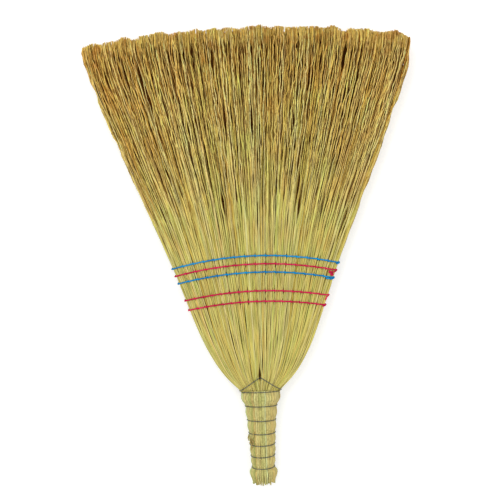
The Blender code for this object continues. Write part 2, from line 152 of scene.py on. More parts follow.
def makeStraw(name, finish):
    # Sorghum, air dried and left raw: a waxy rind over pith. It looks silky along the stalk, with a soft
    # broken highlight. Every stalk has its own tone, greenish or rusty, and painted shade darkens those
    # inside.
    material, tree, shader = newMaterial(name, {"Roughness": 0.55, "IOR": 1.45, "Specular IOR Level": 0.08})
    look = addNode(tree, "Attribute", {"attribute_name": "look"})["Vector"]
    tone, cast, shade = addNode(tree, "SeparateXYZ", links={0: look})
    flow = addNode(tree, "Attribute", {"attribute_name": "flow"})["Vector"]
    level = addNode(tree, "SeparateXYZ", links={0: flow})["Y"]
    byHeight = {}
    for part, (low, high, below, above) in finish["byHeight"].items():
        ends = {1: low * mm, 2: high * mm, 3: below, 4: above}
        byHeight[part] = addNode(tree, "MapRange", ends, {0: level})[0]

    def noiseAlong(across, along):
        # drawn out along the strands, which run up the flow's Y
        stretch = (1 / (across * mm), 1 / (along * mm), 1 / (across * mm))
        place = addNode(tree, "VectorMath", {**multiplying, 1: stretch}, {0: flow})[0]
        return addNode(tree, "TexNoise", {"Scale": 1.0, "Detail": 2.0}, {"Vector": place})["Fac"]

    grain = noiseAlong(*finish["grain"])
    patch = noiseAlong(*finish["patch"])
    fleck = noiseAlong(*finish["fleck"])

    # the level where pale turns tan wanders with the patches
    most = finish["wander"] * mm
    wander = addNode(tree, "MapRange", {**noiseRange, 3: -most, 4: most}, {0: patch})[0]
    wandered = addNode(tree, "Math", adding, {0: level, 1: wander})[0]
    paleTop, tanFoot = finish["turning"]
    ageing = addNode(tree, "MapRange", {1: paleTop * mm, 2: tanFoot * mm}, {0: wandered})[0]
    pale = addNode(tree, "ValToRGB", {"stops": finish["pale"]}, {"Fac": tone})["Color"]
    tan = addNode(tree, "ValToRGB", {"stops": finish["tan"]}, {"Fac": tone})["Color"]
    aged = addNode(tree, "Mix", mixColour, {0: ageing, 6: pale, 7: tan})[2]

    # a green or a rusty cast for each stalk, which sways with the patches
    most = finish["sway"]
    sway = addNode(tree, "MapRange", {**noiseRange, 3: -most, 4: most}, {0: patch})[0]
    swayed = addNode(tree, "Math", adding, {0: cast, 1: sway})[0]
    hue = addNode(tree, "MapRange", {1: -1.0, 2: 1.0}, {0: swayed})[0]
    tint = addNode(tree, "ValToRGB", {"stops": finish["hues"]}, {"Fac": hue})["Color"]
    tinted = addNode(tree, "Mix", {**multiplyColour, 0: 1.0}, {6: aged, 7: tint})[2]

    # rusty flecks near the tips
    low, high = finish["fleckEdge"]
    fleckShape = addNode(tree, "MapRange", {1: low, 2: high, 4: finish["fleckMost"]}, {0: fleck})[0]
    flecks = addNode(tree, "Math", multiplying, {0: byHeight["flecks"], 1: fleckShape})[0]
    rust = linearColour(finish["fleckColour"])
    rusty = addNode(tree, "Mix", {**mixColour, 7: rust}, {0: flecks, 6: tinted})[2]

    # short dark stretches, different on every strand
    stretch = (0, 1 / (finish["dash"] * mm), 0)
    run = addNode(tree, "VectorMath", {**multiplying, 1: stretch}, {0: flow})[0]
    apart = {"operation": "MULTIPLY_ADD", 1: finish["dashApart"]}
    spot = addNode(tree, "VectorMath", apart, {0: look, 2: run})[0]
    turned = addNode(tree, "TexNoise", {"Scale": 1.0, "Detail": 1.0}, {"Vector": spot})["Fac"]
    low, high = finish["dashEdge"]
    dashes = addNode(tree, "MapRange", {1: low, 2: high}, {0: turned, 4: byHeight["dashes"]})[0]
    dashDarkColour = linearColour(finish["dashColour"])
    dashed = addNode(tree, "Mix", {**mixColour, 7: dashDarkColour}, {0: dashes, 6: rusty})[2]

    # painted shade inside the broom, painted light on the loose branches, and how bright the ribs and the
    # levels are
    shaded = addNode(tree, "Math", multiplying, {0: shade, 1: byHeight["depthShade"]})[0]
    depthShade = linearColour(finish["depthShade"])
    depthShaded = addNode(tree, "Mix", {**multiplyColour, 7: depthShade}, {0: shaded, 6: dashed})[2]
    darkest, brightest = finish["ribs"]
    streak = addNode(tree, "MapRange", {**noiseRange, 3: darkest, 4: brightest}, {0: grain})[0]
    lit = addNode(tree, "Math", multiplying, {0: byHeight["foot"], 1: byHeight["lift"]})[0]
    strength = addNode(tree, "Math", multiplying, {0: streak, 1: lit})[0]
    coloured = addNode(tree, "VectorMath", {"operation": "SCALE"}, {0: depthShaded, "Scale": strength})[0]
    ceiling = {"operation": "MINIMUM", 1: (finish["brightest"],) * 3}
    held = addNode(tree, "VectorMath", ceiling, {0: coloured})[0]
    tree.links.new(held, shader.inputs["Base Color"])
    bump = addNode(tree, "Bump", {"Strength": 0.5, "Distance": finish["ribHeight"] * mm}, {"Height": grain})
    tree.links.new(bump[0], shader.inputs["Normal"])
    return material


def mottledMaterial(name, settings, stops, mottle, detail):
    # a material whose colour drifts over the piece, in clouds of mottle mm
    material, tree, shader = newMaterial(name, settings)
    coords = addNode(tree, "TexCoord")["Object"]
    clouds = {"Scale": 1 / (mottle * mm), "Detail": detail}
    noise = addNode(tree, "TexNoise", clouds, {"Vector": coords})["Fac"]
    colour = addNode(tree, "ValToRGB", {"stops": stops}, {"Fac": noise})["Color"]
    tree.links.new(colour, shader.inputs["Base Color"])
    return material, tree, shader, noise


def makeShade():
    # Painted shade deep in the broom, where no light falls: a dry dark brown, in crumbs
    stops = ((0.3, "#3a1e08"), (0.7, "#6c4010"))
    settings = {"Roughness": 0.9, "Specular IOR Level": 0.1}
    return mottledMaterial("packedStrawShade", settings, stops, mottle=3.0, detail=2.0)[0]


def makeWireSteel():
    # Galvanised mild steel wire, hot dipped and drawn: a dull grey zinc skin, mottled and a little olive
    stops = ((0.3, "#44453e"), (0.55, "#6a6c62"), (0.75, "#8c8e86"))
    settings = {"Metallic": 0.9, "Roughness": 0.46}
    made = mottledMaterial("galvanisedWire", settings, stops, mottle=2.4, detail=3.0)
    material, tree, shader, noise = made
    smoothest, roughest = 0.38, 0.6
    rough = addNode(tree, "MapRange", {**noiseRange, 3: smoothest, 4: roughest}, {0: noise})[0]
    tree.links.new(rough, shader.inputs["Roughness"])
    return material


twineFinish = {
    "fibre": 0.4,    # mm across the fuzz, coarser than its real fibres, so that it shows
    "fuzz": 0.08,    # mm that it stands out
    "fade": 9.0,     # mm along a faded stretch
    "stops": (0.3, 0.5, 0.72),
    "blue": ("#00649e", "#008aca", "#1caee4"),
    "red": ("#980f38", "#d41c50", "#ea4070"),
}


def makeTwine(dye):
    # Spun synthetic twine, dyed, three plies laid together: saturated and nearly matt, with fuzz
    settings = {"Roughness": 0.8, "Specular IOR Level": 0.15}
    material, tree, shader = newMaterial("dyedTwine" + dye.title(), settings)
    coords = addNode(tree, "TexCoord")["Object"]
    fine = {"Scale": 1 / (twineFinish["fibre"] * mm), "Detail": 2.0}
    fibre = addNode(tree, "TexNoise", fine, {"Vector": coords})["Fac"]
    wide = {"Scale": 1 / (twineFinish["fade"] * mm), "Detail": 1.0}
    fade = addNode(tree, "TexNoise", wide, {"Vector": coords})["Fac"]
    halfFade = addNode(tree, "Math", {**multiplying, 1: 0.5}, {0: fade})[0]
    mixed = addNode(tree, "Math", {"operation": "MULTIPLY_ADD", 1: 0.5}, {0: fibre, 2: halfFade})[0]
    stops = list(zip(twineFinish["stops"], twineFinish[dye]))
    colour = addNode(tree, "ValToRGB", {"stops": stops}, {"Fac": mixed})["Color"]
    tree.links.new(colour, shader.inputs["Base Color"])
    bump = addNode(tree, "Bump", {"Strength": 0.6, "Distance": twineFinish["fuzz"] * mm}, {"Height": fibre})
    tree.links.new(bump[0], shader.inputs["Normal"])
    return material


sweepStraw = makeStraw("airDriedSorghum", strawFinish)
packedShade = makeShade()
wireSteel = makeWireSteel()
twineColours = {dye: makeTwine(dye) for dye in ("blue", "red")}
print("materials made")


# Shape of the fan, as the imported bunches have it. Levels run up from the shoulder wire, in mm.

fan = {
    "levels": (0, 17.4, 36, 67, 150, 290, 365, 394, 415, 437),
    "widths": (46.4, 80, 106, 137, 197.5, 312, 369, 387, 395, 392),
    "depths": (31, 31, 29.5, 27, 25, 33, 38.5, 40.6, 42, 42),
    "edgeShares": (0.22, 0.34, 0.42, 0.47, 0.50, 0.57, 0.62, 0.635, 0.65, 0.65),
    "archRadius": 425,   # of the rows of twine
    "denseTop": 232,     # the stalks follow that arc up to here
    "length": 437,
    "edgeDrop": 14,      # how much lower the tips lie at the edges than in the middle
    "bunches": 16,
    "rows": (108.2, 120.6, 142.9, 152.7, 162.5),
    "pinch": 1.9,        # above and below a row of twine, where it draws the stalks in
    "slitLevel": 18.5,   # the slit between the shoulder's two halves, widest here
    "slitHalf": 1.8,
    "slitRuns": (4.5, 11.0),  # how fast it closes below and above
    "slitReach": 9.0,    # how far to the sides it pushes the stalks
    "patternHalves": (98.75, 12.5),  # half width and depth at the stitches, where straw patterns are true
}
edges = {
    "loose": (180, 60),    # from where nothing holds the fan's edges, and over what run
    "corner": (412, 25),   # from where the corners are drawn in, and over what run
    # waves as a share of the half width, mm to a radian and start, and the share drawn in at the corner
    "left": (((0.008, 11.0, 1.3), (0.007, 4.7, 0.0)), 0.010),
    "right": (((0.008, 13.0, 4.0), (0.006, 5.3, 2.0)), 0.042),
}


def climb(at, start, run):
    # 0 below the start, rising evenly to 1 over the run
    return np.clip((at - start) / run, 0, 1)


def smoothBetween(places, values, at):
    # cubic curve through the named stations, held at both ends
    places, values = np.array(places, float), np.array(values, float)
    order = np.arange(len(places))
    low, high = np.maximum(order - 1, 0), np.minimum(order + 1, len(places) - 1)
    slopes = (values[high] - values[low]) / (places[high] - places[low])
    at = np.clip(at, places[0], places[-1])
    index = np.clip(np.searchsorted(places, at) - 1, 0, len(places) - 2)
    span = places[index + 1] - places[index]
    share = (at - places[index]) / span
    return (
        values[index] * (2 * share**3 - 3 * share**2 + 1)
        + slopes[index] * span * (share**3 - 2 * share**2 + share)
        + values[index + 1] * (3 * share**2 - 2 * share**3)
        + slopes[index + 1] * span * (share**3 - share**2)
    )


def fanHalfWidth(level):
    return smoothBetween(fan["levels"], fan["widths"], level) / 2


def archDrop(level):
    # how far the fan's edges lie below its middle
    def sewnDrop(at):
        return (fanHalfWidth(at) ** 2 - fanHalfWidth(0) ** 2) / (2 * fan["archRadius"])

    share = np.clip((level - fan["denseTop"]) / (fan["length"] - fan["denseTop"]), 0, None)
    looseDrop = sewnDrop(fan["denseTop"]) * (1 - share) + fan["edgeDrop"] * share
    return np.where(share > 0, looseDrop, sewnDrop(level))


def halfDepth(side, level):
    middle = smoothBetween(fan["levels"], fan["depths"], level) / 2
    edge = smoothBetween(fan["levels"], fan["edgeShares"], level)
    return middle * np.sqrt(1 - (1 - edge**2) * np.minimum(side**2, 1))


def fanPlace(side, depth, level):
    # shares of the half width and the half depth to a place in mm from the shoulder wire's middle
    drop = archDrop(level)
    x = side * fanHalfWidth(level - drop)
    run = np.where(level < fan["slitLevel"], *fan["slitRuns"])
    slit = fan["slitHalf"] * np.exp(-((level - fan["slitLevel"]) / run) ** 2)
    x = x + np.sign(side) * slit * np.exp(-np.abs(x) / fan["slitReach"])
    return np.stack([x, level - drop * side**2, depth * halfDepth(side, level)], axis=-1)


def fanFlow(side, depth, level):
    # where a strand reads its pattern: every strand keeps its own column of it from end to end
    wide, deep = fan["patternHalves"]
    return np.stack([side * wide, level, depth * deep], axis=-1)


def keepInside(sides, levels):
    # the fan's edges bulge and draw in a little above the stitches, and its corners are worn round
    loose = climb(levels, *edges["loose"])
    corner = climb(levels, *edges["corner"]) ** 2

    def limit(waves, drawnIn):
        wave = sum(size * np.sin(levels / run + start) for size, run, start in waves)
        return 1 + loose * wave - drawnIn * corner

    return np.clip(sides, -limit(*edges["left"]), limit(*edges["right"]))


def rowPinch(level):
    # 1 at a row of twine, fading to 0 a few mm from it
    return sum(np.exp(-((level - row) / fan["pinch"]) ** 2) for row in fan["rows"])


# Strands: tubes drawn along rows of places, each with its own tone

mergeDistance = 0.002 * mm


def profileCurve(points):
    # a closed outline for a tube's section, in mm
    curve = bpy.data.curves.new("profile", "CURVE")
    curve.dimensions = "2D"
    spline = curve.splines.new("POLY")
    spline.points.add(len(points) - 1)
    spline.use_cyclic_u = True
    for target, (x, y) in zip(spline.points, points):
        target.co = (x * mm, y * mm, 0, 1)
    holder = bpy.data.objects.new("profile", curve)
    scene.collection.objects.link(holder)
    return holder


def ringProfile(sides, lobe=0.0, lobes=1):
    # a unit ring, wavy where lobe isn't zero
    points = []
    for step in range(sides):
        turn = fullTurn * step / sides
        reach = 1 + lobe * math.cos(lobes * turn)
        points.append((reach * math.cos(turn), reach * math.sin(turn)))
    return points


def strandGroup(places, radii, flow, look, tilt=None):
    # strands closed to a point at both ends: places (count, points, 3), radii and flow in mm, each strand's
    # look, which is its tone, its cast and how much painted shade it has deep in the broom, and its tilt
    # where it twists
    radii[:, 0] = radii[:, -1] = 0
    tilt = np.zeros(places.shape[:2]) if tilt is None else tilt
    look = np.repeat(look[:, None], places.shape[1], axis=1)
    return {"places": places, "radii": radii, "flow": flow, "look": look, "tilt": tilt}


def strandMesh(name, groups, profile):
    curve = bpy.data.curves.new(name, "CURVE")
    curve.dimensions = "3D"
    holders = [profileCurve(profile)]
    curve.bevel_mode = "OBJECT"
    curve.bevel_object = holders[0]
    for group in groups:
        places = group["places"] * mm + np.array(shoulder)
        count = places.shape[1]
        for row, radii, tilt in zip(places, group["radii"], group["tilt"]):
            spline = curve.splines.new("POLY")
            spline.points.add(count - 1)
            spline.points.foreach_set("co", np.c_[row, np.ones(count)].ravel())
            spline.points.foreach_set("radius", radii)
            spline.points.foreach_set("tilt", tilt)
    holders.append(bpy.data.objects.new(name, curve))
    scene.collection.objects.link(holders[1])
    mesh = bpy.data.meshes.new_from_object(holders[1].evaluated_get(bpy.context.evaluated_depsgraph_get()))
    for holder in reversed(holders):
        data = holder.data
        bpy.data.objects.remove(holder)
        bpy.data.curves.remove(data)

    def perVertex(part):
        # one row for each corner of every ring
        rows = [np.repeat(group[part].reshape(-1, 3), len(profile), axis=0) for group in groups]
        return np.concatenate(rows)

    corners = np.empty(len(mesh.vertices) * 3)
    mesh.vertices.foreach_get("co", corners)
    offsets = corners.reshape(-1, 3) - (perVertex("places") * mm + np.array(shoulder))
    for attribute, values in (("flow", perVertex("flow") * mm + offsets), ("look", perVertex("look"))):
        layer = mesh.attributes.new(attribute, "FLOAT_VECTOR", "POINT")
        layer.data.foreach_set("vector", values.ravel())
    return mesh


def finishPiece(name, bm, materials, nodes):
    # close the strands' pointed ends, shade smooth and hand the piece to the frame
    bmesh.ops.remove_doubles(bm, verts=bm.verts, dist=mergeDistance)
    mesh = bpy.data.meshes.new(name)
    bm.to_mesh(mesh)
    bm.free()
    for material in materials:
        mesh.materials.append(material)
    mesh.shade_smooth()
    piece = bpy.data.objects.new(name, mesh)
    scene.collection.objects.link(piece)
    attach(piece, "root")
    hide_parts(*nodes)


# Sweep: in each bunch, layers of whole stalks, and tufts of the fine branches that spring from them

stalks = {
    "layers": (  # depth share, stalks in one bunch, how much painted shade
        (0.93, 6, 0.0), (0.80, 5, 0.4), (0.66, 5, 0.6),
    ),
    "points": 56,
    "start": -2.0,           # mm above the shoulder wire
    "ends": (215, 330),
    "loose": (160, 160),     # mm above the shoulder from where nothing holds them, and over what run
    "waves": (               # mm long, mm aside where they are sewn, and mm more where they are loose
        (150, 0.0, 1.0), (70, 0.22, 0.0), (34, 0.0, 0.3),
    ),
    "depthWave": (90, 0.02),
    "pinch": 0.14,           # how far a row of twine draws them to the bunch's middle
    "fillLevels": (170, 230),
    "fills": (1.0, 0.80),    # share of its place across the bunch that one stalk takes, below and above
    "largest": 1.35,         # mm, its radius, and mm more where it is loose
    "stouter": 0.15,
    "sizes": (0.9, 1.1),
    "drawnOut": 70.0,        # mm below its end where it starts to thin out
    "thinned": 0.72,
    "tone": (0.66, 0.15),    # mean and spread
    "cast": (0.0, 0.35),
}
tufts = {
    "layers": (  # depth share, tufts in one bunch, how much painted shade
        (0.95, 8, 0.0), (0.87, 8, 0.42), (0.76, 8, 0.62), (0.46, 8, 0.82), (0.16, 8, 0.82),
    ),
    "branches": 2,
    "points": 46,
    "stems": 4,              # stalks across a bunch that tufts spring from
    "gathered": 0.45,        # how near a tuft starts to its stalk
    "starts": (128, 240),    # mm above the shoulder, most of them low
    "innerShade": 0.8,        # tufts with more painted shade than this start higher
    "innerStarts": (300, 345),
    "branchStart": 40,       # mm within which a tuft's branches start
    "looseFrom": 150,        # mm above the shoulder
    "waves": ((95, 1.4), (43, 1.1), (25, 0.8), (15, 0.5)),  # mm long, and how strong
    "crinkle": 0.38,
    "crinkleFoot": 0.35,     # how much of it a tuft has where it is sewn
    "kink": 0.30,            # mm from one point of a branch to the next
    "radius": 0.46,          # one branch
    "sizes": (0.75, 1.4),
    "body": (0.75, 0.45),    # a branch's radius at its ends, and how much more in its middle
    "girth": 0.36,           # mm from a tuft's middle to its branches
    "girthFoot": 0.5,        # how much of that where it is sewn
    "girths": (0.5, 1.3),
    "twist": 130,            # mm in which the branches wind round each other
    "opening": 130,          # mm in which a tuft comes to its own place across the bunch
    "spread": 0.9,           # mm that a tuft leans aside by the tips
    "strays": (0.06, 4.0),   # share of the branches that stray, and how many mm
    "depthMm": 14,           # half depth that turns mm into shares
    "depthWave": (60, 0.015),
    "depthSpread": 0.04,
    "trim": 1.3,             # mm, unevenness of the cut tips, and of the branches in one tuft
    "frayed": 0.5,
    "lying": 0.7,            # a branch's middle above the table, for those that rest on it
    "tone": (0.76, 0.08, 0.16),  # mean, spread between tufts and spread in one tuft
    "cast": (-0.08, 0.17),
    "edgeCast": 0.5,         # how much rustier the fan's edges are
    "stained": (0.05, 0.35),     # share of the branches that are, and how much
}
tips = {
    "count": 170,
    "points": 6,
    "run": 22.0,         # mm, the length of one
    "runs": (0.6, 1.2),
    "lean": 1.2,
    "filled": 0.97,      # share of the half depth
    "arc": (-0.5, 0.5),  # shares of half a turn, from the back round to the front
    "radius": 0.48,
    "sizes": (0.8, 1.3),
    "uneven": 0.9,
    "tone": (0.62, 0.16),
    "cast": (0.0, 0.17),
    # painted shade of the tips, from and to
    "depthShade": (0, 0.4),
}
rims = {  # strands that close the fan's two sides
    "depths": (-0.8, -0.6, -0.4, -0.2, 0.0, 0.2, 0.4, 0.6, 0.8),
    "layers": ((0.02, 0.0, 0.0), (0.07, 0.12, 0.12)),  # share of a bunch inward, depth aside, painted shade
}
unevenWidths = (0.62, 1.38)  # one strand's share of an even width
# how much each strand's painted shade differs at random
depthShadeSpread = 0.08


def slowWave(rng, count, levels, wavelength):
    # one smooth random line for each strand, as a sum of three waves
    total = 0
    for share in (1.0, 0.55, 0.3):
        phase = rng.random((count, 1)) * fullTurn
        weight = rng.normal(0, 1, (count, 1)) * share
        total = total + weight * np.sin(fullTurn * levels / (wavelength * share) + phase)
    return total


def bunchSpan(bunch):
    # a bunch's first side and its width, as shares of the fan's half width
    return -1 + 2 * bunch / fan["bunches"], 2 / fan["bunches"]


def layOut(bunch, layers, rng):
    # every strand's place across the bunch, its depth share, its painted shade and its share of an even
    # width, for both faces and the rims
    rows = []
    for depth, count, depthShade in layers:
        for face in (1, -1):
            widths = rng.uniform(*unevenWidths, count)
            widths *= count / widths.sum()
            shift = rng.random() * (depthShade > 0)  # the outer layer fills its bunch from side to side
            homes = (np.cumsum(widths) - widths / 2 + shift) / count % 1
            rows += [(home, face * depth, depthShade, width) for home, width in zip(homes, widths)]
    if bunch in (0, fan["bunches"] - 1):
        for inward, aside, depthShade in rims["layers"]:
            home = inward if bunch == 0 else 1 - inward
            rows += [(home, depth + aside, depthShade, 1) for depth in rims["depths"]]
    return np.array(rows).T[..., None]


def looksOf(rng, tone, cast, depthShade):
    return np.stack([np.clip(tone, 0, 1), cast, depthShade + rng.uniform(0, depthShadeSpread, len(tone))], axis=1)


def cutSquare(points, last):
    # even steps up to the last point but one, which lies close to the end
    return np.append(np.linspace(0, last, points - 1), 1.0)[None, :]


def keepAboveTable(places):
    places[..., 2] = np.maximum(places[..., 2], tufts["lying"] - shoulder.z / mm)


partings = {
    "seen": (  # mm from the axis and above the shoulder wire, half run and half width: those that show most
        (-128.0, 381.0, 30.0, 2.0), (-119.0, 352.0, 18.0, 2.4), (-36.0, 226.0, 13.0, 1.8),
        (2.0, 323.0, 14.0, 1.8), (55.0, 222.0, 15.0, 1.6), (52.0, 321.0, 10.0, 1.7),
        (115.0, 392.0, 16.0, 1.8), (-43.0, 396.0, 12.0, 1.8), (-100.0, 262.0, 14.0, 1.7),
        (-86.0, 242.0, 12.0, 1.2), (-30.0, 330.0, 20.0, 1.3),
    ),
    "near": 0.1,         # a bunch is parted by those that lie this near its middle
    # small ones at random in each bunch: level from and to, half run from and to, and the widest half width
    "random": ((200, 420, 7, 22, 0.8),) * 4 + ((30, 105, 12, 30, 0.55),) * 2,
    "narrowest": 0.3,
    "stitch": (3.2, 0.5),  # half run and half width between two bunches at a row of twine
    "reach": 3.2,        # mm over which strands beside a parting are pushed
}


def bunchPartings(bunch, rng):
    first, width = bunchSpan(bunch)
    found = [parting for parting in partings["seen"]
             if abs(parting[0] / fanHalfWidth(parting[1]) - first - width / 2) < partings["near"]]
    for lowest, highest, shortest, longest, widest in partings["random"]:
        level = rng.uniform(lowest, highest)
        side = first + rng.random() * width
        run = rng.uniform(shortest, longest)
        found.append((side * fanHalfWidth(level), level, run, rng.uniform(partings["narrowest"], widest)))
    for row in fan["rows"]:
        found += [(side * fanHalfWidth(row), row - archDrop(row) * side**2, *partings["stitch"])
                  for side in (first, first + width)]
    return found


def openPartings(places, found):
    # push strands to both sides of each parting, a strand as a whole to one side
    for x, level, run, width in found:
        window = width * np.exp(-((places[..., 1] - level) / run) ** 2)
        middle = x * fanHalfWidth(places[..., 1]) / fanHalfWidth(level)
        away = places[..., 0] - middle
        way = np.sign((away * window).sum(axis=1, keepdims=True))
        places[..., 0] += way * window * np.exp(-np.abs(away) / partings["reach"])
    return places


def growStalks(bunch, rng, found):
    first, width = bunchSpan(bunch)
    home, depth, depthShade, share = layOut(bunch, stalks["layers"], rng)
    count = len(home)
    start = stalks["start"]
    end = rng.uniform(*stalks["ends"], (count, 1))
    levels = start + (end - start) * np.linspace(0, 1, stalks["points"])[None, :]
    loose = climb(levels, *stalks["loose"])
    half = fanHalfWidth(levels)
    drift = 0
    for run, sewn, more in stalks["waves"]:
        drift = drift + slowWave(rng, count, levels, run) * (sewn + more * loose)
    pull = 1 - stalks["pinch"] * rowPinch(levels)
    centre = first + width / 2
    limit = 1 - stalks["largest"] / half
    sides = np.clip(centre + (first + width * home - centre) * pull + drift / half, -limit, limit)
    run, deep = stalks["depthWave"]
    depths = depth * (1 + slowWave(rng, count, levels, run) * deep)
    room = half / (fan["bunches"] * stalks["layers"][0][1])
    fill = smoothBetween(stalks["fillLevels"], stalks["fills"], levels)
    size = np.minimum(room * fill * share, stalks["largest"] + stalks["stouter"] * loose)
    size = size * rng.uniform(*stalks["sizes"], (count, 1))
    radii = size * (1 - stalks["thinned"] * climb(levels, end - stalks["drawnOut"], stalks["drawnOut"]))
    looks = looksOf(rng, rng.normal(*stalks["tone"], count), rng.normal(*stalks["cast"], count), depthShade[:, 0])
    places = openPartings(fanPlace(sides, depths, levels), found)
    return strandGroup(places, radii, fanFlow(sides, depths, levels), looks)


trim = {  # how the blade cut the tips, and how they wore
    "short": 2.2,       # mm that the tips end below the fan's length
    "blocks": ((0.9, 23, 1), (0.6, 61, 2)),  # mm high, and how often and from where they alternate
    "notches": (        # share of the half width, half run and mm: where the tips are worn or cut shorter
        (-1.0, 0.03, 1.4), (-0.83, 0.055, 3.4), (-0.68, 0.03, 2.0), (-0.46, 0.03, 3.0), (-0.24, 0.06, 2.4),
        (-0.02, 0.03, 3.0), (0.29, 0.06, 3.0), (0.59, 0.035, 6.0), (0.81, 0.04, 4.6), (1.0, 0.06, 4.4),
    ),
}


def trimLevel(side):
    # the blade cuts the tips a block at a time
    worn = sum(deep * np.exp(-((side - place) / run) ** 2) for place, run, deep in trim["notches"])
    steps = sum(high * np.sign(np.sin(side * often + start)) for high, often, start in trim["blocks"])
    return fan["length"] - trim["short"] - worn + steps


def growTufts(bunch, rng, found):
    # a tuft springs from a stalk: a few branches round one crinkled line, whose tips are cut together
    first, width = bunchSpan(bunch)
    home, depth, depthShade, _ = layOut(bunch, tufts["layers"], rng)
    count = len(home)
    stem = (np.floor(home * tufts["stems"]) + 0.5) / tufts["stems"]
    root = home + (stem - home) * tufts["gathered"]
    lowest, highest = tufts["starts"]
    innerStart = rng.uniform(*tufts["innerStarts"], (count, 1))
    outerStart = lowest + (highest - lowest) * rng.random((count, 1)) ** 1.5
    start = np.where(depthShade > tufts["innerShade"], innerStart, outerStart)
    end = trimLevel(first + width * home) - tufts["trim"] * rng.random((count, 1)) ** 3
    waveRuns, waveSizes = np.array(tufts["waves"]).T[..., None]
    phases = rng.random((count, len(waveRuns), 1)) * fullTurn
    weights = rng.normal(0, 1, (count, len(waveRuns), 1)) * waveSizes
    lean = rng.normal(0, tufts["spread"], (count, 1))

    def perBranch(values):
        return np.repeat(values, tufts["branches"], axis=0)

    total = count * tufts["branches"]
    start = perBranch(start) + rng.uniform(0, tufts["branchStart"], (total, 1))
    end = perBranch(end) - rng.random((total, 1)) ** 2 * tufts["frayed"]
    share = cutSquare(tufts["points"], 0.999)
    levels = start + (end - start) * share
    loose = climb(levels, tufts["looseFrom"], fan["length"] - tufts["looseFrom"])
    turns = fullTurn * levels[:, None] / waveRuns + perBranch(phases)
    line = (perBranch(weights) * np.sin(turns)).sum(axis=1)
    line *= tufts["crinkle"] * (tufts["crinkleFoot"] + loose)
    turn = rng.random((total, 1)) * fullTurn + slowWave(rng, total, levels, tufts["twist"])
    girth = tufts["girth"] * (tufts["girthFoot"] + loose) * rng.uniform(*tufts["girths"], (total, 1))
    drift = line + girth * np.cos(turn) + rng.normal(0, tufts["kink"], levels.shape) * loose
    often, far = tufts["strays"]
    stray = (rng.random((total, 1)) < often) * rng.normal(0, far, (total, 1)) * loose**2
    opened = smoothBetween((0, tufts["opening"]), (0, 1), levels - start)
    sides = first + width * (perBranch(root) + perBranch(home - root) * opened)
    sides = keepInside(sides + (drift + stray + perBranch(lean) * loose) / fanHalfWidth(levels), levels)
    run, deep = tufts["depthWave"]
    rise = girth * np.sin(turn) / tufts["depthMm"] + slowWave(rng, total, levels, run) * deep
    rise = rise + rng.normal(0, tufts["depthSpread"], (total, 1)) * loose
    depths = np.clip(perBranch(depth) + rise, -1.0, 1.0)
    places = openPartings(fanPlace(sides, depths, levels), found)
    keepAboveTable(places)
    size = tufts["radius"] * rng.uniform(*tufts["sizes"], (total, 1))
    thin, more = tufts["body"]
    radii = size * (thin + more * np.sin(math.pi * share) ** 0.7)
    often, strong = tufts["stained"]
    stained = (rng.random(total) < often) * strong
    mean, between, within = tufts["tone"]
    tone = perBranch(rng.normal(mean, between, count)) + rng.normal(0, within, total) - stained
    rustier = tufts["edgeCast"] * (first + width / 2) ** 2
    cast = perBranch(rng.normal(*tufts["cast"], count)) + stained + rustier
    looks = looksOf(rng, tone, cast, perBranch(depthShade)[:, 0])
    return strandGroup(places, radii, fanFlow(sides, depths, levels), looks)


def growTips(bunch, rng):
    # the short last branchlets that close the trimmed end
    first, width = bunchSpan(bunch)
    count = tips["count"]
    side = first + width * rng.random((count, 1))
    end = trimLevel(side) - tips["uneven"] * rng.random((count, 1)) ** 2
    left = 1 - cutSquare(tips["points"], 0.99)
    levels = end - tips["run"] * rng.uniform(*tips["runs"], (count, 1)) * left
    sides = keepInside(side + rng.normal(0, tips["lean"], (count, 1)) * left / fanHalfWidth(levels), levels)
    depths = tips["filled"] * np.sin(rng.uniform(*tips["arc"], (count, 1)) * math.pi) + 0 * levels
    radii = tips["radius"] * rng.uniform(*tips["sizes"], (count, 1)) + 0 * levels
    places = fanPlace(sides, depths, levels)
    keepAboveTable(places)
    tone, cast = rng.normal(*tips["tone"], count), rng.normal(*tips["cast"], count)
    looks = looksOf(rng, tone, cast, rng.uniform(*tips["depthShade"], count))
    return strandGroup(places, radii, fanFlow(sides, depths, levels), looks)


slab = {
    "foot": 1.0,         # mm above the shoulder wire
    "length": 425,
    "cuts": 26,
    "rim": 3.0,          # mm that it stays in from the fan's edges
    "inset": 0.98,
    "thick": 0.66,       # share of the fan's depth
    "thinner": 0.05,     # how much less of it at the tips
    "thinning": (340, 86),  # from this level, over this run
}


def shadeBlock(bunch):
    # a dark slab of painted shade inside the bunch, so that gaps between its strands look deep
    first, width = bunchSpan(bunch)
    bm = bmesh.new()
    bmesh.ops.create_cube(bm, size=1.0)
    along = [edge for edge in bm.edges if abs(edge.verts[0].co.y - edge.verts[1].co.y) > 0.5]
    bmesh.ops.subdivide_edges(bm, edges=along, cuts=slab["cuts"], use_grid_fill=True)
    for vertex in bm.verts:
        level = slab["foot"] + (vertex.co.y + 0.5) * slab["length"]
        rim = 1 - slab["rim"] / float(fanHalfWidth(level))
        side = max(-rim, min(rim, first + (vertex.co.x + 0.5) * width)) * slab["inset"]
        thick = slab["thick"] - slab["thinner"] * float(climb(level, *slab["thinning"]))
        spot = fanPlace(np.array(side), np.array(vertex.co.z * 2 * thick), np.array(level))
        vertex.co = Vector(spot) * mm + shoulder
    for face in bm.faces:
        face.material_index = 1
    return bm


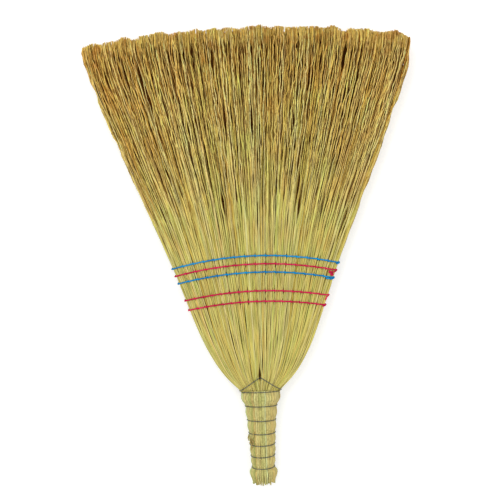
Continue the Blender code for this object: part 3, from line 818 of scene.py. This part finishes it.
stalkProfile, branchProfile = ringProfile(6), ringProfile(3)
firstSeed = 100
for bunch in range(fan["bunches"]):
    rng = np.random.default_rng(firstSeed + bunch)
    found = bunchPartings(bunch, rng)
    bm = shadeBlock(bunch)
    bm.from_mesh(strandMesh("stalks", [growStalks(bunch, rng, found)], stalkProfile))
    branches = [growTufts(bunch, rng, found), growTips(bunch, rng)]
    bm.from_mesh(strandMesh("branches", branches, branchProfile))
    finishPiece(f"bunch_{bunch + 1:02d}", bm, [sweepStraw, packedShade],
                [f"sweep_bunch_{bunch + 1:02d}"])
grown = [piece for piece in scene.objects if piece.name.startswith("bunch_")]
print("sweep grown:", sum(len(piece.data.polygons) for piece in grown), "faces")


# Grip: the butts of the same stalks, one by one, waisted at each wire and cut off unevenly

grip = {
    "bound": 92.4,            # mm from the shoulder wire to the last wire, and from there to the cut butt
    "butt": 19.6,
    "collar": (46.4, 31.0),   # width and depth at the shoulder wire
    "end": (26.4, 26.0),      # at the last wire
    "flare": (33.4, 32.0),
    "cut": (27.6, 27.0),
    "buttShares": ((0.22, "flare"), (0.42, "flare"), (0.86, "cut"), (1.1, "cut")),  # of the butt's length
    "bulge": 1.3,
    "collarBulge": 2.6,
    "wirePlaces": (0.0, 0.190, 0.376, 0.546, 0.696, 0.848, 1.0),
    "sizes": (1.0, 0.56, 0.36, 0.24, 0.15, 0.08, 0.0),
    "tilt": 2.0,              # how much lower the last ring hangs at the front than at its sides
    "sectors": 8,
}
butts = {
    "outer": 34,
    "widths": (0.7, 1.35),    # one stalk's share of an even width
    "thickness": 1.15,        # half of one stalk, from the outside in
    "lap": 1.04,              # how far each stalk reaches over its neighbours
    "parted": 0.42,           # share that each stalk narrows by from the last wire to its cut end
    "top": 1.5,               # mm above the shoulder wire
    "uneven": 4.2,
    "inner": ((0.76, 22), (0.5, 14), (0.25, 7)),  # rings inside the butt: share of the radius, and stalks
    "innerHalf": 1.45,
    "innerAside": 0.2,        # share of its place that an inner stalk may stand aside
    "innerEnds": (1, 4),      # mm that they end in from the cut, at least, and mm more at random
    "corners": 8,
    "step": 3.2,              # mm along a stalk from one ring to the next
    "wobble": (0.016, 9, 21),  # how far it sways round the grip, and its two waves' mm to a radian
    "smallest": 2.0,          # radius at which a stalk's own curve is no longer drawn tighter
    "wall": 0.42,             # rind round the pith at a cut end
    "hollow": 1.6,            # mm from a cut end to its pith, times a share from and to
    "hollows": (0.5, 1.2),
    "tone": (0.66, 0.18),
    "cast": (0.0, 0.6),
    "pattern": (0.02, 0.3),   # m to a radian, and share of x, that the pattern moves aside round the grip
}
# Sorghum butts, peeled of their leaves and air dried: paler than the sweep, with a finer grain
gripFinish = {
    **strawFinish,
    "grain": (0.5, 22.0),
    "byHeight": {**strawFinish["byHeight"], "foot": (30.0, 130.0, 1.0, 1.0)},
    "pale": ((0.0, "#86703c"), (0.25, "#b5a264"), (0.45, "#c6ba76"), (0.62, "#cfc682"), (0.8, "#d6d09a"),
             (1.0, "#e4dcb0")),
}
# the flared butt touches the table, so the grip slopes down to it from the shoulder
flarePlace = grip["bound"] + grip["butt"] * grip["buttShares"][1][0]
gripSlope = (shoulder.z / mm - grip["flare"][1] / 2) / flarePlace
wirePlaces = [-grip["bound"] * share for share in grip["wirePlaces"]]
wireSizes = [[e + (c - e) * share for c, e in zip(grip["collar"], grip["end"])] for share in grip["sizes"]]
buttEnd = -(grip["bound"] + grip["butt"])


def gripStations():
    # place along the axis, half width and half depth, from the last butt up to the collar
    stations = []
    for at, (place, size) in enumerate(zip(wirePlaces, wireSizes)):
        stations.append((place, size[0] / 2, size[1] / 2))
        if at + 1 < len(wirePlaces):
            below = wireSizes[at + 1]
            fuller = grip["bulge"] if at else grip["collarBulge"]
            stations.append(((place + wirePlaces[at + 1]) / 2, (size[0] + below[0]) / 4 + fuller,
                             (size[1] + below[1]) / 4 + fuller))
    for share, size in grip["buttShares"]:
        stations.append((wirePlaces[-1] - grip["butt"] * share, grip[size][0] / 2, grip[size][1] / 2))
    return sorted(stations)


stationPlaces, stationWide, stationDeep = zip(*gripStations())


def ringTilt(angle, place):
    # rings lie aslant: the front keeps its place and the back is drawn up
    return grip["tilt"] * (np.sin(angle) - 1) * np.clip(-place / grip["bound"], 0, 1)


def gripRadius(angle, place):
    place = place + ringTilt(angle, place)
    wide = smoothBetween(stationPlaces, stationWide, place)
    deep = smoothBetween(stationPlaces, stationDeep, place)
    return 1 / np.hypot(np.cos(angle) / wide, np.sin(angle) / deep)


def gripSpot(angle, radius, place):
    spot = Vector((radius * math.cos(angle), place, gripSlope * place + radius * math.sin(angle)))
    return spot * mm + shoulder


def drawnOn(bm, face):
    return bmesh.ops.extrude_discrete_faces(bm, faces=[face])["faces"][0]


def growButt(angle, half, inset, top, end, rng):
    # one stalk: a flattened ring drawn along the grip, then its pith hollowed at the cut. Its half width
    # is an angle for an outer stalk, whose inset is 1, and mm for the round ones inside.
    bm = bmesh.new()
    ring = bmesh.ops.create_circle(bm, cap_ends=True, segments=butts["corners"], radius=1.0)["verts"]
    shape = np.array([vertex.co[:2] for vertex in ring])
    face = bm.faces[:][0]
    order = [ring.index(vertex) for vertex in face.verts]
    count = max(4, round((top - end) / butts["step"]))
    sway, firstRun, nextRun = butts["wobble"]
    wobble = rng.normal(0, sway, 3)
    thickness = butts["thickness"]
    for step in range(count + 1):
        place = top + (end - top) * step / count
        if step:
            face = drawnOn(bm, face)
        turn = angle + wobble[0] * math.sin(place / firstRun) + wobble[1] * math.sin(place / nextRun + 2)
        outer = float(gripRadius(turn, place))
        wide, thick = half, half
        if inset == 1:
            past = max(0, wirePlaces[-1] - place) / grip["butt"]
            wide = half * outer * (1 - butts["parted"] * min(1, past))
            thick = thickness
        turns = turn + shape[:, 0] * wide / max((outer - thickness) * inset, butts["smallest"])
        radii = (gripRadius(turns, place) - thickness) * inset + shape[:, 1] * thick
        for index, vertex in zip(order, face.verts):
            vertex.co = gripSpot(turns[index], radii[index], place)
    bmesh.ops.inset_individual(bm, faces=[face], thickness=butts["wall"] * mm)
    pith = drawnOn(bm, face)
    for vertex in pith.verts:
        vertex.co.y += butts["hollow"] * mm * rng.uniform(*butts["hollows"])
    # painted shade: the hollow pith takes the dark shade material
    pith.material_index = 1
    bmesh.ops.recalc_face_normals(bm, faces=bm.faces)
    look = bm.verts.layers.float_vector.new("look")
    flow = bm.verts.layers.float_vector.new("flow")
    own = (float(np.clip(rng.normal(*butts["tone"]), 0, 1)), rng.normal(*butts["cast"]), 0.0)
    folded = min(angle, fullTurn - angle)  # so that patches run on past the grip's right side
    aside, across = butts["pattern"]
    for vertex in bm.verts:
        local = vertex.co - shoulder
        vertex[look] = own
        vertex[flow] = (folded * aside + local.x * across, local.y, local.z)
    mesh = bpy.data.meshes.new("butt")
    bm.to_mesh(mesh)
    bm.free()
    return mesh


def sectorOf(angle):
    return int(angle / fullTurn * grip["sectors"]) % grip["sectors"]


gripStraw = makeStraw("peeledSorghum", gripFinish)
gripRng = np.random.default_rng(7)
sectors = [bmesh.new() for _ in range(grip["sectors"])]
widths = gripRng.uniform(*butts["widths"], butts["outer"])
widths *= fullTurn / widths.sum()
angle = 0.0
for width in widths:
    middle = angle + width / 2
    end = buttEnd + gripRng.random() ** 1.5 * butts["uneven"]
    mesh = growButt(middle, width / 2 * butts["lap"], 1, butts["top"], end, gripRng)
    sectors[sectorOf(middle)].from_mesh(mesh)
    angle += width
for ringShare, count in butts["inner"]:
    for number in range(count):
        aside = gripRng.uniform(-butts["innerAside"], butts["innerAside"])
        middle = fullTurn * (number + aside) / count
        least, more = butts["innerEnds"]
        end = buttEnd + least + gripRng.random() * more
        mesh = growButt(middle, butts["innerHalf"], ringShare, wirePlaces[-1], end, gripRng)
        sectors[sectorOf(middle)].from_mesh(mesh)

# a torn leaf sheath, dried in crumpled strips against the grip's left side
tatters = {
    "count": 22,
    "points": 9,
    "angles": (2.25, 3.05),       # round the grip, from its right side over the front
    "places": (-63.0, -53.0),     # mm from the shoulder wire
    "run": 5.0,                   # how many mm one runs along the grip
    "crumple": (40, 30, 0.035),   # mm along a strip, mm to a wave, and how far it goes round the grip
    "stand": 0.9,                 # mm that its middle stands off the stalks, and the share that its ends do
    "foot": 0.4,
    "radius": 0.42,
    "tone": (0.42, 0.2),
    "cast": (0.6, 0.3),
}


def growTatters(rng):
    count = tatters["count"]
    share = np.linspace(0, 1, tatters["points"])[None, :]
    long, wavelength, far = tatters["crumple"]
    angle = rng.uniform(*tatters["angles"], (count, 1))
    angle = angle + slowWave(rng, count, share * long, wavelength) * far
    place = rng.uniform(*tatters["places"], (count, 1)) + share * rng.normal(0, tatters["run"], (count, 1))
    stand = tatters["foot"] + np.sin(math.pi * share) * rng.random((count, 1))
    radius = gripRadius(angle, place) + tatters["stand"] * stand
    places = np.stack([radius * np.cos(angle), place, gripSlope * place + radius * np.sin(angle)], axis=-1)
    radii = np.full(place.shape, tatters["radius"])
    tone, cast = rng.normal(*tatters["tone"], count), rng.normal(*tatters["cast"], count)
    return strandGroup(places, radii, places, looksOf(rng, tone, cast, np.zeros(count)))


tatterMesh = strandMesh("tatters", [growTatters(gripRng)], ringProfile(4))
sectors[sectorOf(sum(tatters["angles"]) / 2)].from_mesh(tatterMesh)
for number, bm in enumerate(sectors, 1):
    nodes = [f"grip_stalks_{number}"] + (["grip_core"] if number == 1 else [])
    finishPiece(f"gripStalks_{number}", bm, [gripStraw, packedShade], nodes)

# the heart behind the outer stalks, in place of the imported core: dark brown painted shade, so that gaps
# between the stalks look deep
heart = {
    "sides": 24,
    "steps": 40,
    "top": 1.0,      # mm above the shoulder wire
    "above": 6.0,    # mm that it ends above the cut butt
    "inside": 1.5,
}
bm = bmesh.new()
bmesh.ops.create_circle(bm, cap_ends=True, segments=heart["sides"], radius=1.0)
face = bm.faces[:][0]
for step in range(heart["steps"] + 1):
    place = heart["top"] + (buttEnd + heart["above"] - heart["top"]) * step / heart["steps"]
    if step:
        face = drawnOn(bm, face)
    for index, vertex in enumerate(face.verts):
        turn = fullTurn * index / heart["sides"]
        vertex.co = gripSpot(turn, float(gripRadius(turn, place)) - heart["inside"], place)
bmesh.ops.recalc_face_normals(bm, faces=bm.faces)
finishPiece("gripHeart", bm, [packedShade], [])
print("grip bound")


# Wires: each twisted shut, and the two ties that part the shoulder

wire = {
    "thickness": 0.95,
    "stand": 0.6,         # from the straw's waist to the wire's middle
    "seat": 0.3,
    "passGap": 0.8,
    "loopPoints": 90,
    "sag": (0.3, 1.2),    # mm that a loop sags, and from where round the grip
    "tail": 8.0,
    "tailPoints": 26,
    "tailTurns": 2.2,
    "tailFrom": 0.03,     # share of a tail at which it leaves the loop
    "tailTight": 0.36,    # how much tighter its ends lie together than they start
    "tailSettle": 4,      # how fast they do, and how fast they rise from the loop
    "tailAngles": (-0.13, 0.64, -0.15, 0.65, -0.14, 0.64, -0.12),
}
wirePass = (wire["thickness"] + wire["passGap"]) / 2  # from the middle between two passes to each
tie = {
    "low": 1.3,           # mm above the shoulder wire at its sides, and at the slit
    "high": 17.4,
    "points": 25,
    "route": (0.5, 6),    # mm from point to point, and how often its corners are eased
}


def lengthsAlong(line):
    # from its first point to each point
    return np.r_[0, np.cumsum(np.linalg.norm(np.diff(line, axis=0), axis=1))]


def roundedRoute(points, step, passes):
    # even spacing along straight runs, with the corners eased
    points = np.array(points, float)
    lengths = lengthsAlong(points)
    at = np.linspace(0, lengths[-1], int(lengths[-1] / step) + 1)
    line = np.stack([np.interp(at, lengths, points[:, axis]) for axis in range(3)], axis=1)
    for _ in range(passes):
        line[1:-1] = line[1:-1] * 0.5 + (line[:-2] + line[2:]) * 0.25
    return line


def finishTube(name, line, radius, profile, material, node, twist=0.0):
    # a single tube, blunt at both ends
    blunt = 0.02
    line = np.concatenate([line[:1], line, line[-1:]])
    line[0] += (line[0] - line[2]) * blunt
    line[-1] += (line[-1] - line[-3]) * blunt
    lengths = lengthsAlong(line)
    flow = np.stack([0 * lengths, lengths, 0 * lengths], axis=-1)[None]
    radii = np.full((1, len(line)), radius)
    strand = strandGroup(line[None], radii, flow, np.zeros((1, 3)), (lengths * twist)[None])
    bm = bmesh.new()
    bm.from_mesh(strandMesh(name, [strand], profile))
    if bm.calc_volume(signed=True) < 0:
        bmesh.ops.reverse_faces(bm, faces=bm.faces)
    finishPiece(name, bm, [material], [node])


def wireLine(number):
    # a full turn in the waist, its two ends twisted into a tail
    place = wirePlaces[number]
    across, down = [size / 2 + wire["stand"] for size in wireSizes[number]]
    halfStep = wirePass / min(across, down)
    start = fullTurn * wire["tailAngles"][number]
    centre = np.array([0, place, gripSlope * place])
    turns = start + np.linspace(halfStep, fullTurn - halfStep, wire["loopPoints"])
    sag, sagFrom = wire["sag"]
    sags = sag * np.cos(turns - sagFrom - number) * min(number, 1) - ringTilt(turns, place)
    loop = centre + np.stack([across * np.cos(turns), sags, down * np.sin(turns)], axis=1)
    middle, spread = (loop[0] + loop[-1]) / 2, (loop[0] - loop[-1]) / 2
    outward = (middle - centre) / np.linalg.norm(middle - centre)
    half = np.linalg.norm(spread)
    along = np.array([0, 1.0 if number + 1 == len(wirePlaces) else -1.0, 0])
    share = np.linspace(wire["tailFrom"], 1, wire["tailPoints"])[:, None]
    turn = fullTurn * share * wire["tailTurns"]
    tight = 1 - wire["tailTight"] * np.minimum(share * wire["tailSettle"], 1)
    rise = (half + grip["bulge"] + wire["seat"]) * (1 - np.exp(-wire["tailSettle"] * share))

    def tail(way):
        return (middle + along * wire["tail"] * share + outward * rise
                + way * tight * (spread * np.cos(turn) + outward * half * np.sin(turn)))

    return np.concatenate([tail(1)[::-1], loop, tail(-1)])


def tieLine(way):
    # from the slit down over the front to the shoulder's side, and back behind it
    slit = way * wirePass
    stand = wire["stand"]
    share = np.linspace(0, 1, tie["points"])
    outer = way * (float(fanHalfWidth(tie["low"])) + stand)
    x = slit + (outer - slit) * share
    y = tie["high"] + (tie["low"] - tie["high"]) * share
    z = halfDepth(x / (fanHalfWidth(y) + stand), y) + stand
    front = np.stack([x, y, z], axis=1)
    back = front[::-1] * (1, 1, -1)
    ends = np.array([[slit, tie["high"], wire["thickness"]]])
    return np.concatenate([ends, front, back, ends * (1, 1, -1)])


wireProfile = ringProfile(8)
for number in range(len(wirePlaces)):
    finishTube(f"gripWire_{number + 1}", wireLine(number), wire["thickness"] / 2, wireProfile, wireSteel,
               f"grip_wire_{number + 1}")
for way, side in ((-1, "left"), (1, "right")):
    finishTube(f"shoulderTie_{side}", roundedRoute(tieLine(way), *tie["route"]), wire["thickness"] / 2,
               wireProfile, wireSteel, f"shoulder_tie_{side}")
print("wires twisted")


# Twine: five rows of saddle stitch, each out along the row and back, over one bunch and under the next

twine = {
    "thickness": 1.75,
    "seat": 0.2,
    "aside": 0.5,    # mm from the row to where the thread dives in, as two threads share each hole
    "level": 0.16,   # share of a bunch over which a stitch climbs back to its row
    "slack": 0.15,   # share of aside that it keeps there
    "plies": (12, 0.16, 3),  # corners of the section, how deep the plies part, and how many
    "lay": 4.2,      # mm for one turn of the plies
    "tuck": 3.0,     # mm of the first end, laid up the back
    "tuckDepth": -1.3,   # mm behind the middle where it turns round the edge
    "tailStand": 1.5,    # how far the ends stand off the straw, beside a stitch
    "route": (0.55, 3),  # mm from point to point, and how often its corners are eased
    "tails": (       # mm inward and below the row for the last end of each, laid on the front
        ((1.5, 1.4), (3.0, 2.0)),
        ((1.8, 2.4), (2.6, 5.2), (3.8, 6.0)),
        ((2.0, 1.7), (9.0, 2.2)),
        ((1.2, 2.0), (3.0, 3.2), (7.6, 2.4), (8.8, 3.2), (8.0, 4.3), (4.0, 5.2), (3.2, 6.2), (4.2, 7.0),
         (7.4, 6.4)),
        ((1.2, 1.4), (3.0, 1.8)),
    ),
    "colours": ("red", "red", "blue", "red", "blue"),
}


def twineLine(row, tail):
    stand = twine["thickness"] / 2 + twine["seat"]
    aside = twine["aside"]
    drop = float(archDrop(row))
    half = float(fanHalfWidth(row - drop))
    count = fan["bunches"]

    def spot(boundary, rise, face):
        share = -1 + 2 * boundary / count
        x = share * half
        if boundary in (0, count):
            x += math.copysign(stand, share)
        return x, row - drop * share**2 + rise * aside, face * (float(halfDepth(share, row)) + stand)

    def stitch(bunch, face):
        near, far, slack = twine["level"], 1 - twine["level"], twine["slack"]
        return [spot(bunch, -face, face), spot(bunch + near, -slack * face, face),
                spot(bunch + far, slack * face, face), spot(bunch + 1, face, face)]

    points = []
    for bunch in reversed(range(count)):
        points += stitch(bunch, 1 if bunch % 2 else -1)[::-1]
    for bunch in range(count):
        points += stitch(bunch, -1 if bunch % 2 else 1)

    def laid(inward, below, face):
        share = 1 - inward / half
        lifted = float(halfDepth(share, row)) + stand * twine["tailStand"]
        return share * half, row - drop * share**2 - below, face * lifted

    edge, edgeRow = half + stand, row - drop
    first = [laid(twine["tuck"], -twine["tuck"], -1), (edge, edgeRow + aside, twine["tuckDepth"])]
    last = [(edge, edgeRow - aside, 0.0)] + [laid(inward, below, 1) for inward, below in tail]
    return roundedRoute(first + points + last, *twine["route"])


plyProfile = ringProfile(*twine["plies"])
for number, (row, tail, colour) in enumerate(zip(fan["rows"], twine["tails"], twine["colours"]), 1):
    finishTube(f"twineRow_{number}", twineLine(row, tail), twine["thickness"] / 2, plyProfile,
               twineColours[colour], f"twine_row_{number}", fullTurn / twine["lay"])
print("rows stitched")


# Floor, light and camera

studio = {
    "floorSize": 40.0,
    "paper": "#ececec",
    "paperGlow": 0.36,   # how much whiter the paper is seen than it lights
    "world": 0.74,
    "lamps": (  # place, size in m and watts, aimed at the broom
        ((-0.8, 0.9, 1.9), 1.4, 17.0),
        ((1.2, -0.4, 1.8), 1.6, 8.0),
    ),
    "cameraPlace": (-5.97, 169.56, 1440.0),  # mm from the shoulder wire's middle
    "cameraTurn": -2.24,  # degrees
    "lens": 86.4,
    "nearest": 0.05,
}
white = (1, 1, 1, 1)


def seenDirectly(tree):
    # 1 for what the camera sees, by itself or in metal, and 0 for what lights the broom
    rays = addNode(tree, "LightPath")
    seen = rays["Is Camera Ray"]
    for ray in ("Is Glossy Ray", "Is Transmission Ray"):
        seen = addNode(tree, "Math", adding, {0: seen, 1: rays[ray]})[0]
    return seen


floorMesh = bpy.data.meshes.new("floor")
bm = bmesh.new()
bmesh.ops.create_grid(bm, x_segments=1, y_segments=1, size=studio["floorSize"] / 2)
bm.to_mesh(floorMesh)
bm.free()
floor = bpy.data.objects.new("floor", floorMesh)
scene.collection.objects.link(floor)
# Matt white background paper, machine made and uncoated: even, with no sheen
paperSettings = {"Base Color": linearColour(studio["paper"]), "Roughness": 0.95, "Emission Color": white}
floorPaper, tree, shader = newMaterial("studioPaper", paperSettings)
glow = {**multiplying, 1: studio["paperGlow"]}
strength = addNode(tree, "Math", glow, {0: seenDirectly(tree)})[0]
tree.links.new(strength, shader.inputs["Emission Strength"])
floorMesh.materials.append(floorPaper)

world = bpy.data.worlds.new("studio")
scene.world = world
world.use_nodes = True
tree = world.node_tree
background = tree.nodes["Background"]
background.inputs["Color"].default_value = white
strength = addNode(tree, "MapRange", {3: studio["world"], 4: 1.0}, {0: seenDirectly(tree)})[0]
tree.links.new(strength, background.inputs["Strength"])

for number, (place, size, watts) in enumerate(studio["lamps"], 1):
    light = bpy.data.lights.new(f"softbox_{number}", "AREA")
    light.size = size
    light.energy = watts
    lamp = bpy.data.objects.new(f"softbox_{number}", light)
    lamp.location = place
    lamp.rotation_euler = (-Vector(place)).to_track_quat("-Z", "Y").to_euler()
    scene.collection.objects.link(lamp)

lens = bpy.data.cameras.new("camera")
lens.lens = studio["lens"]
lens.clip_start = studio["nearest"]
camera = bpy.data.objects.new("camera", lens)
camera.location = shoulder + Vector(studio["cameraPlace"]) * mm
camera.rotation_euler = (0, 0, math.radians(studio["cameraTurn"]))
scene.collection.objects.link(camera)
scene.camera = camera
scene.view_settings.view_transform = "Standard"
print("studio set")
